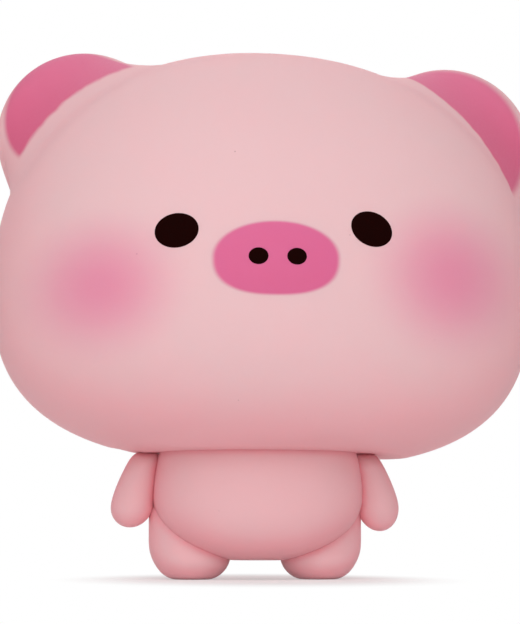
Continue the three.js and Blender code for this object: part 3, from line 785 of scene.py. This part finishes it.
for side in ("left", "right"):
    print_spot(f"{side}_eye", HEAD_SURFACE, EYE_HALF_WIDTH, EYE_HALF_HEIGHT, **EYES[side])
    print_spot(f"{side}_nostril", SNOUT_SURFACE, NOSTRIL_HALF_WIDTH, NOSTRIL_HALF_HEIGHT, **NOSTRILS[side])

# %% [markdown]
# ## Torso
# The torso is a small barrel with a full belly that hangs a little over the legs.
# Its neck goes up into the head's socket, and a round seat underneath holds the squeaker.
# The profile is turned like the head's, and the seat and the neck keep their round plan.
# In front and behind, the low belly is fuller than the turned profile, so its vertices are moved out there.
# The top goes a hair into the head's flat underside, so that no dark gap shows between them.

# %% Torso profile
TORSO_HALF_WIDTH, TORSO_FRONT, TORSO_BACK = 23.7, 18.5, 18.0
TORSO_BASE, TORSO_WAIST, TORSO_TOP = 4.3, 18.5, 28.6
BELLY_POWER, BELLY_CUT = 2.0, 1.035
CHEST_TAPER, TORSO_TOP_ROUND, TORSO_TOP_RING = 30, 0.2, 16
SEAT_RADIUS, SEAT_TOP, SEAT_EDGE, SEAT_MARGIN = 4.8, 5.65, 0.3, 0.6
NECK_RADIUS, NECK_TOP, NECK_EDGE = 9.0, 33.0, 0.4
BELLY_RINGS, CHEST_RINGS, TOP_ROUND_RINGS = 40, 16, 6


def torso_profile():
    """Goes from the squeaker's seat over the belly, the chest and the shoulders to the neck."""
    points = [(0, SEAT_TOP), (SEAT_RADIUS, SEAT_TOP), (SEAT_RADIUS, TORSO_BASE + SEAT_EDGE)]
    points.append((SEAT_RADIUS + SEAT_EDGE, TORSO_BASE))
    for i in range(1, BELLY_RINGS + 1):
        angle = math.pi / 2 * (1 - i / BELLY_RINGS)
        radius = TORSO_HALF_WIDTH * max(0, math.cos(angle)) ** (2 / BELLY_POWER)
        drop = min(1, BELLY_CUT * math.sin(angle) ** (2 / BELLY_POWER))
        if radius > SEAT_RADIUS + SEAT_MARGIN:
            points.append((radius, between(TORSO_WAIST, TORSO_BASE, drop)))
    for i in range(1, CHEST_RINGS + 1):
        rise = (TORSO_TOP - TORSO_TOP_ROUND - TORSO_WAIST) * i / CHEST_RINGS
        points.append((TORSO_HALF_WIDTH * math.sqrt(1 - (rise / CHEST_TAPER) ** 2), TORSO_WAIST + rise))
    shoulder = points[-1][0]
    for angle in quarter(TOP_ROUND_RINGS):
        inward = TORSO_TOP_ROUND * (1 - math.cos(angle))
        points.append((shoulder - inward, TORSO_TOP - TORSO_TOP_ROUND * (1 - math.sin(angle))))
    points += [(TORSO_TOP_RING, TORSO_TOP), (NECK_RADIUS + NECK_EDGE, TORSO_TOP)]
    return points + [(NECK_RADIUS, TORSO_TOP + NECK_EDGE), (NECK_RADIUS, NECK_TOP), (0, NECK_TOP)]


# %% Make the torso
TORSO_PLAN_POWER, TORSO_STEPS = 2.3, 128
SEAT_RIM = 5.2
BELLY_FRONT_POWER, FULLEST_DROP = 3.0, 0.97


def torso_round_radius(height):
    return NECK_RADIUS + ROUND_MARGIN if height > TORSO_WAIST else SEAT_RIM


torso_bm = spun(torso_profile(), TORSO_STEPS)
press_oval(torso_bm, TORSO_HALF_WIDTH, TORSO_FRONT, TORSO_BACK, TORSO_PLAN_POWER, torso_round_radius)
for v in torso_bm.verts:
    drop = min(FULLEST_DROP, (TORSO_WAIST - v.co.z / MM) / (TORSO_WAIST - TORSO_BASE))
    if drop > 0:
        slim = (1 - (drop / BELLY_CUT) ** BELLY_POWER) ** (1 / BELLY_POWER)
        full = (1 - drop ** BELLY_FRONT_POWER) ** (1 / BELLY_FRONT_POWER)
        clear = smoothstep(math.hypot(v.co.x, v.co.y) / MM, SEAT_RIM, SEAT_RIM + PRESS_BLEND)
        v.co.y *= 1 + (full / slim - 1) * clear
torso_bm.normal_update()
torso = piece("torso_skin", torso_bm, VINYL)
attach(torso, "torso")
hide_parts("torso")

# %% [markdown]
# ## Legs
# A leg is a stump with a small flat sole and a round foot, pushed forwards and a little inwards into a toe.
# Its shin leans back under the belly, and its domed top turns inside the torso,
# so the belly closes over it in a slanting crease and its outer side runs up to the hand.

# %% Leg profile
LEG_RADIUS, SHAFT_TOP, LEG_TOP = 9.2, 14.6, 19.6
SOLE_RADIUS, FOOT_HEIGHT = 3.4, 7.2
SOLE_RADII = (0, 1.1, 2.3, SOLE_RADIUS)
FOOT_RINGS, SHAFT_RINGS, LEG_DOME_RINGS = 20, 6, 12


def leg_profile():
    """Goes from the middle of the sole round the foot and up the shaft to the domed top."""
    points = [(radius, 0) for radius in SOLE_RADII]
    for angle in quarter(FOOT_RINGS):
        out = (LEG_RADIUS - SOLE_RADIUS) * math.sin(angle)
        points.append((SOLE_RADIUS + out, FOOT_HEIGHT * (1 - math.cos(angle))))
    for i in range(1, SHAFT_RINGS + 1):
        points.append((LEG_RADIUS, between(FOOT_HEIGHT, SHAFT_TOP, i / SHAFT_RINGS)))
    for angle in quarter(LEG_DOME_RINGS):
        points.append((LEG_RADIUS * math.cos(angle), between(SHAFT_TOP, LEG_TOP, math.sin(angle))))
    points[-1] = (0, LEG_TOP)
    return points


# %% Make the legs
LEG_MIDDLES, LEG_Y, LEG_STEPS = {"left": 14.6, "right": -15.3}, 1.8, 80
TOE_LENGTH, TOE_IN, TOE_RISE, TOE_FADE = 1.3, 0.6, 2.0, 9.0
SHIN_RECESS, SHIN_LOW, SHIN_HIGH = 1.4, 3.0, 11.0

for side, middle in LEG_MIDDLES.items():
    bm = spun(leg_profile(), LEG_STEPS)
    for v in bm.verts:
        ahead = max(0, -v.co.y / (LEG_RADIUS * MM))
        low = 1 - smoothstep(v.co.z / MM, TOE_RISE, TOE_FADE)
        high = smoothstep(v.co.z / MM, SHIN_LOW, SHIN_HIGH)
        v.co.y += (SHIN_RECESS * high - TOE_LENGTH * low) * ahead * MM
        v.co.x -= math.copysign(TOE_IN * low * MM, middle)
    bmesh.ops.translate(bm, verts=bm.verts, vec=(middle * MM, LEG_Y * MM, 0))
    bm.normal_update()
    leg = piece(f"{side}_leg_stump", bm, VINYL)
    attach(leg, f"{side}_leg")
    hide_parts(f"{side}_leg")

# %% [markdown]
# ## Arms
# An arm is a flat drop: a shoulder that is round about its pivot, so that it turns close under the head,
# and a fuller hand that hangs out from the body. The two hang a little differently.
# It is turned as a bead, and then each ring of the bead is widened and moved to its place along the arm.
# A ring's width is half the arm's thickness sideways, and its depth is half the thickness front to back.

# %% Arm shape
SHOULDER_RADIUS, SHOULDER_SQUARENESS = 4.6, 5
HAND_DROP, HAND_HALF_DEPTH = 7.4, 4.9
TOP_INNER, TOP_OUTER = 21.9, 28.1
HAND_INNER, HAND_OUTER, SWING_POWER = 23.6, 33.1, 1.4
TIP_X, TIP_POWER = 28.8, 2.0
SHOULDER_RINGS, HAND_RINGS, TIP_RINGS = 12, 12, 14


def arm_ring(height, arm_drop):
    """Gives a ring's middle, half width and half depth at a height over the shoulder's pivot."""
    way = min(1, (SHOULDER_RADIUS - height) / (SHOULDER_RADIUS + HAND_DROP))
    inner = between(TOP_INNER, HAND_INNER, way)
    outer = between(TOP_OUTER, HAND_OUTER, 1 - (1 - way) ** SWING_POWER)
    middle, width = (inner + outer) / 2, (outer - inner) / 2
    if height > 0:
        share = min(1, height / SHOULDER_RADIUS)
        close = (1 - share ** SHOULDER_SQUARENESS) ** (1 / SHOULDER_SQUARENESS)
        return middle, width * close, SHOULDER_RADIUS * math.sqrt(1 - share ** 2)
    depth = between(SHOULDER_RADIUS, HAND_HALF_DEPTH, smoothstep(-height, 0, HAND_DROP))
    tip = max(0, (-height - HAND_DROP) / (arm_drop - HAND_DROP))
    close = max(0, 1 - tip ** TIP_POWER) ** (1 / TIP_POWER)
    return between(middle, TIP_X, tip), width * close, depth * close


def arm_bead(arm_drop):
    """Gives rings of radius 1 from the top of the shoulder to the tip of the hand, closed at both ends."""
    shoulder = [SHOULDER_RADIUS * math.sin(angle) for angle in [0] + quarter(SHOULDER_RINGS)[:-1]]
    hand = [-HAND_DROP * i / HAND_RINGS for i in range(1, HAND_RINGS)]
    tip = [-between(HAND_DROP, arm_drop, math.sin(angle)) for angle in [0] + quarter(TIP_RINGS)[:-1]]
    rings = [(1, height) for height in shoulder[::-1] + hand + tip]
    return [(0, SHOULDER_RADIUS)] + rings + [(0, -arm_drop)]


# %% Make the arms
SHOULDER_Z, ARM_STEPS = 23.9, 64
ARMS = {
    "left": {"sign": 1, "inset": 0.9, "drop": 13.1},
    "right": {"sign": -1, "inset": 0.0, "drop": 12.3},
}
for side, arm in ARMS.items():
    bm = spun(arm_bead(arm["drop"]), ARM_STEPS)
    for v in bm.verts:
        middle, width, depth = arm_ring(v.co.z / MM, arm["drop"])
        v.co.x = arm["sign"] * (middle - arm["inset"]) * MM + v.co.x * width
        v.co.y *= depth
        v.co.z += SHOULDER_Z * MM
    bmesh.ops.recalc_face_normals(bm, faces=bm.faces)
    bm.normal_update()
    limb = piece(f"{side}_arm_drop", bm, VINYL)
    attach(limb, f"{side}_arm")
    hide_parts(f"{side}_arm")

# %% [markdown]
# ## Tail
# The tail is on the side that the camera doesn't see: a root that comes straight out of the back,
# then a little over one turn of a curl that winds backwards and thins to a round tip.
# A curve with a round bevel follows that line well; it is made a mesh, because the export works on meshes.

# %% Tail line
TAIL_Y, TAIL_Z, TAIL_RADIUS = 17.4, 15.0, 1.4
ROOT_STEPS = (-4, -2, 0, 1.4)
CURL_RADIUS, CURL_PITCH, CURL_TURN, CURL_POINTS = 2.9, 4.6, math.radians(400), 24
TAPER_POINTS, TIP_SHARE = 5, 0.02


def tail_line():
    """Goes straight out of the back and then round the curl."""
    line = [(0, TAIL_Y + step, TAIL_Z) for step in ROOT_STEPS]
    for i in range(1, CURL_POINTS + 1):
        angle = CURL_TURN * i / CURL_POINTS
        line.append((
            CURL_RADIUS * math.sin(angle),
            TAIL_Y + 2 * TAIL_RADIUS + CURL_PITCH * angle / (2 * math.pi),
            TAIL_Z + CURL_RADIUS * (math.cos(angle) - 1),
        ))
    return line


def tail_taper(points_left):
    """Gives the thickness that is left at a number of points before the tip, as a quarter circle."""
    away = 1 - min(1, points_left / TAPER_POINTS)
    return between(TIP_SHARE, 1, math.sqrt(1 - away ** 2))


# %% Make the tail
curve = bpy.data.curves.new("tail_line", "CURVE")
curve.dimensions = "3D"
curve.bevel_depth = TAIL_RADIUS * MM
curve.bevel_resolution = 6
curve.use_fill_caps = True
spline = curve.splines.new("NURBS")
line = tail_line()
spline.points.add(len(line) - 1)
spline.use_endpoint_u = True
spline.order_u = 4
spline.resolution_u = 4
for i, (spot, (x, y, z)) in enumerate(zip(spline.points, line)):
    spot.co = (x * MM, y * MM, z * MM, 1)
    spot.radius = tail_taper(len(line) - 1 - i)
drawn = bpy.data.objects.new("tail_line", curve)
bpy.context.collection.objects.link(drawn)
tail_bm = bmesh.new()
tail_bm.from_mesh(drawn.to_mesh())
bpy.data.objects.remove(drawn)
bmesh.ops.remove_doubles(tail_bm, verts=tail_bm.verts, dist=MERGE_DISTANCE * MM)
bmesh.ops.recalc_face_normals(tail_bm, faces=tail_bm.faces)
tail = piece("tail_curl", tail_bm, VINYL)
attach(tail, "torso")
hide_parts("tail")

# %% [markdown]
# ## Painted crease shade
# Light goes a few millimetres into soft vinyl, so the shade in a crease between two forms looks warm, not
# grey, and that shade is painted into the colour.
# Each vertex of the big forms is measured to the nearest other form, and the share is kept on the vertex:
# full in the crease, nothing a few millimetres out. The vinyl's colour reads it.
# The body stands in the warm shade of the head, so a little of that painted shade pink is all over it.

# %% Find the creases for painted shade
CREASE_REACH, BODY_SHADE_SHARE = 2.8, 0.2
FORM_NAMES = ["head_skin", "torso_skin"]
FORM_NAMES += [f"{side}_{form}" for side in ("left", "right") for form in ("leg_stump", "arm_drop")]
meshes = {name: bpy.data.objects[name].data for name in FORM_NAMES}
surfaces = {
    name: BVHTree.FromPolygons([v.co for v in mesh.vertices], [face.vertices for face in mesh.polygons])
    for name, mesh in meshes.items()
}
for name, mesh in meshes.items():
    others = [surface for other, surface in surfaces.items() if other != name]
    least = 0 if name == "head_skin" else BODY_SHADE_SHARE
    crease_shade = mesh.attributes.new("crease_shade", "FLOAT", "POINT")
    for v, share in zip(mesh.vertices, crease_shade.data):
        gap = min(surface.find_nearest(v.co)[3] for surface in others)
        share.value = max(least, max(0, 1 - gap / (CREASE_REACH * MM)) ** 2)
print("creases found on", len(meshes), "forms")

# %% [markdown]
# ## Squeaker
# The squeaker is a small whistle of milky polyethylene: grille, cup, block and reed.
# Their CAD shapes are right, so they stay and only get a finish.
# Moulded polyethylene is waxy, a little translucent, and shows faint flow marks.

# %% Whistle plastic
MILK_PALE, MILK_WARM = "#F4F1E8", "#E9E4D6"
FLOW_MM, FLOW_HEIGHT, FLOW_SWIRL = 2.5, 0.02, 0.6
WAX_SMOOTHEST, WAX_ROUGHEST, WAX_IOR = 0.38, 0.5, 1.51
MILK_WEIGHT, MILK_RADIUS, MILK_MM = 0.2, (1.0, 0.9, 0.8), 1


def milky_plastic(name):
    material, tree = new_material(name)
    place = add(tree, "ShaderNodeTexCoord").outputs["Object"]
    flow = add(
        tree, "ShaderNodeTexNoise",
        {"Vector": place, "Scale": 1 / (FLOW_MM * MM), "Detail": 2, "Distortion": FLOW_SWIRL},
    ).outputs["Fac"]
    colour = add(
        tree, "ShaderNodeMix",
        {"Factor": flow, "A": linear(MILK_PALE), "B": linear(MILK_WARM)}, data_type="RGBA",
    )
    rough = add(
        tree, "ShaderNodeMapRange",
        {"Value": flow, **NOISE_SPAN, "To Min": WAX_SMOOTHEST, "To Max": WAX_ROUGHEST},
    )
    bump = add(tree, "ShaderNodeBump", {"Height": flow, "Distance": FLOW_HEIGHT * MM})
    shader = add(
        tree, "ShaderNodeBsdfPrincipled",
        {
            "Base Color": colour.outputs["Result"], "Roughness": rough.outputs["Result"],
            "Normal": bump.outputs["Normal"], "IOR": WAX_IOR, "Subsurface Weight": MILK_WEIGHT,
            "Subsurface Radius": MILK_RADIUS, "Subsurface Scale": MILK_MM * MM,
        },
    )
    add(tree, "ShaderNodeOutputMaterial", {"Surface": shader.outputs["BSDF"]})
    return material


WHISTLE = milky_plastic("moulded_polyethylene")
for name in ("squeaker_grille", "squeaker_cup", "squeaker_block", "squeaker_reed"):
    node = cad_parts[name]
    node.data.materials.clear()
    node.data.materials.append(WHISTLE)
print("whistle parts finished in", WHISTLE.name)

# %% [markdown]
# ## Floor and light
# The photograph has a white ground, so the floor is pale and the world is white to the camera.
# The lighting is soft and comes from the front and above: one large softbox, a weak fill and an even sky,
# with two weak lamps above and behind that keep the top of the head and the back from going grey.
# Light Path tells the rays that show the ground itself from the rays that light the toy,
# so the white background adds no light, and the table fades to white away from the toy's soft shadow.
# The studio is far larger than the toy, so its floor and its lamps are placed in metres.

# %% Rays that show the ground
WHITE = (1, 1, 1, 1)


def shows_ground(tree):
    """Gives 1 for rays that come from the camera, a gloss or a clear surface, and 0 for all others."""
    rays = add(tree, "ShaderNodeLightPath").outputs
    clear = add(
        tree, "ShaderNodeMath",
        {0: rays["Is Glossy Ray"], 1: rays["Is Transmission Ray"]}, operation="MAXIMUM",
    ).outputs["Value"]
    seen = add(tree, "ShaderNodeMath", {0: rays["Is Camera Ray"], 1: clear}, operation="MAXIMUM")
    return seen.outputs["Value"]


# %% Table material
TABLE_PALE, TABLE_WHITE, FIBRES_PER_METRE = "#F6F6F6", "#FBFBFB", 60
SHADOW_REACH, WHITE_FROM, SHADOW_LIFT = 20, 48, 0.4
SHADOW_STRETCH = 0.6


def matte_table(name):
    """Keeps the shadow near the toy and fades to white in an oval round it."""
    material, tree = new_material(name)
    place = add(tree, "ShaderNodeTexCoord").outputs["Object"]
    fibre = add(tree, "ShaderNodeTexNoise", {"Vector": place, "Scale": FIBRES_PER_METRE}).outputs["Fac"]
    colour = add(
        tree, "ShaderNodeMix",
        {"Factor": fibre, "A": linear(TABLE_PALE), "B": linear(TABLE_WHITE)}, data_type="RGBA",
    )
    matte = add(tree, "ShaderNodeBsdfDiffuse", {"Color": colour.outputs["Result"]}).outputs["BSDF"]
    paper = add(tree, "ShaderNodeEmission", {"Color": WHITE, "Strength": 1}).outputs["Emission"]
    oval = add(tree, "ShaderNodeVectorMath", {0: place, 1: (1, SHADOW_STRETCH, 1)}, operation="MULTIPLY")
    away = add(tree, "ShaderNodeVectorMath", {0: oval.outputs["Vector"]}, operation="LENGTH")
    fade = add(
        tree, "ShaderNodeMapRange",
        {
            "Value": away.outputs["Value"], "From Min": SHADOW_REACH * MM, "From Max": WHITE_FROM * MM,
            "To Min": SHADOW_LIFT, "To Max": 1,
        },
        interpolation_type="SMOOTHSTEP",
    ).outputs["Result"]
    lift = add(tree, "ShaderNodeMath", {0: shows_ground(tree), 1: fade}, operation="MULTIPLY")
    table = add(tree, "ShaderNodeMixShader", {"Fac": lift.outputs["Value"], 1: matte, 2: paper})
    add(tree, "ShaderNodeOutputMaterial", {"Surface": table.outputs["Shader"]})
    return material


# %% Floor
FLOOR_HALF_SIZE, FLOOR_SEGMENTS = 4, 4

floor_bm = bmesh.new()
bmesh.ops.create_grid(floor_bm, x_segments=FLOOR_SEGMENTS, y_segments=FLOOR_SEGMENTS, size=FLOOR_HALF_SIZE)
floor_mesh = bpy.data.meshes.new("floor")
floor_bm.to_mesh(floor_mesh)
floor_mesh.materials.append(matte_table("matte_white_table"))
floor = bpy.data.objects.new("floor", floor_mesh)
bpy.context.collection.objects.link(floor)
floor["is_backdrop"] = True
print("floor fades to white from", SHADOW_REACH, "to", WHITE_FROM, "mm")

# %% World
SKY_LEVEL = 0.36

world = bpy.data.worlds.new("studio")
bpy.context.scene.world = world
world.use_nodes = True
tree = world.node_tree
tree.nodes.clear()
sky = add(tree, "ShaderNodeBackground", {"Color": WHITE, "Strength": SKY_LEVEL}).outputs["Background"]
white = add(tree, "ShaderNodeBackground", {"Color": WHITE, "Strength": 1}).outputs["Background"]
ground = add(tree, "ShaderNodeMixShader", {"Fac": shows_ground(tree), 1: sky, 2: white})
add(tree, "ShaderNodeOutputWorld", {"Surface": ground.outputs["Shader"]})
print("sky lights the toy at", SKY_LEVEL)

# %% Lamps
LAMP_AIM = Vector((0, 0, 0.065))
LAMPS = {
    "softbox": {"place": (-0.10, -0.66, 0.52), "size": 0.55, "watts": 2.2},
    "front_fill": {"place": (-0.05, -0.75, 0.10), "size": 0.20, "watts": 1.15},
    "top_lamp": {"place": (0.0, 0.25, 0.75), "size": 0.50, "watts": 0.8},
    "back_fill": {"place": (0.0, 0.80, 0.25), "size": 0.50, "watts": 1.0},
}
for name, lamp in LAMPS.items():
    light = bpy.data.lights.new(name, "AREA")
    light.size = lamp["size"]
    light.energy = lamp["watts"]
    lit = bpy.data.objects.new(name, light)
    lit.location = lamp["place"]
    lit.rotation_euler = facing(lit.location, LAMP_AIM)
    bpy.context.collection.objects.link(lit)
print("lamps:", ", ".join(LAMPS))

# %% [markdown]
# ## Finish
# The view transform is Standard, so the colours render about as they are written.
# The CAD box and the dressed box are written out, because dressing must not change the toy's size.

# %% Sizes and finish
bpy.context.scene.view_settings.view_transform = "Standard"
boxes = {"cad": [list(corner) for corner in CAD_BOX], "visual": [list(corner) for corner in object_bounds()]}
for name, (low, high) in boxes.items():
    print(name, [round((b - a) / MM, 1) for a, b in zip(low, high)], "mm")
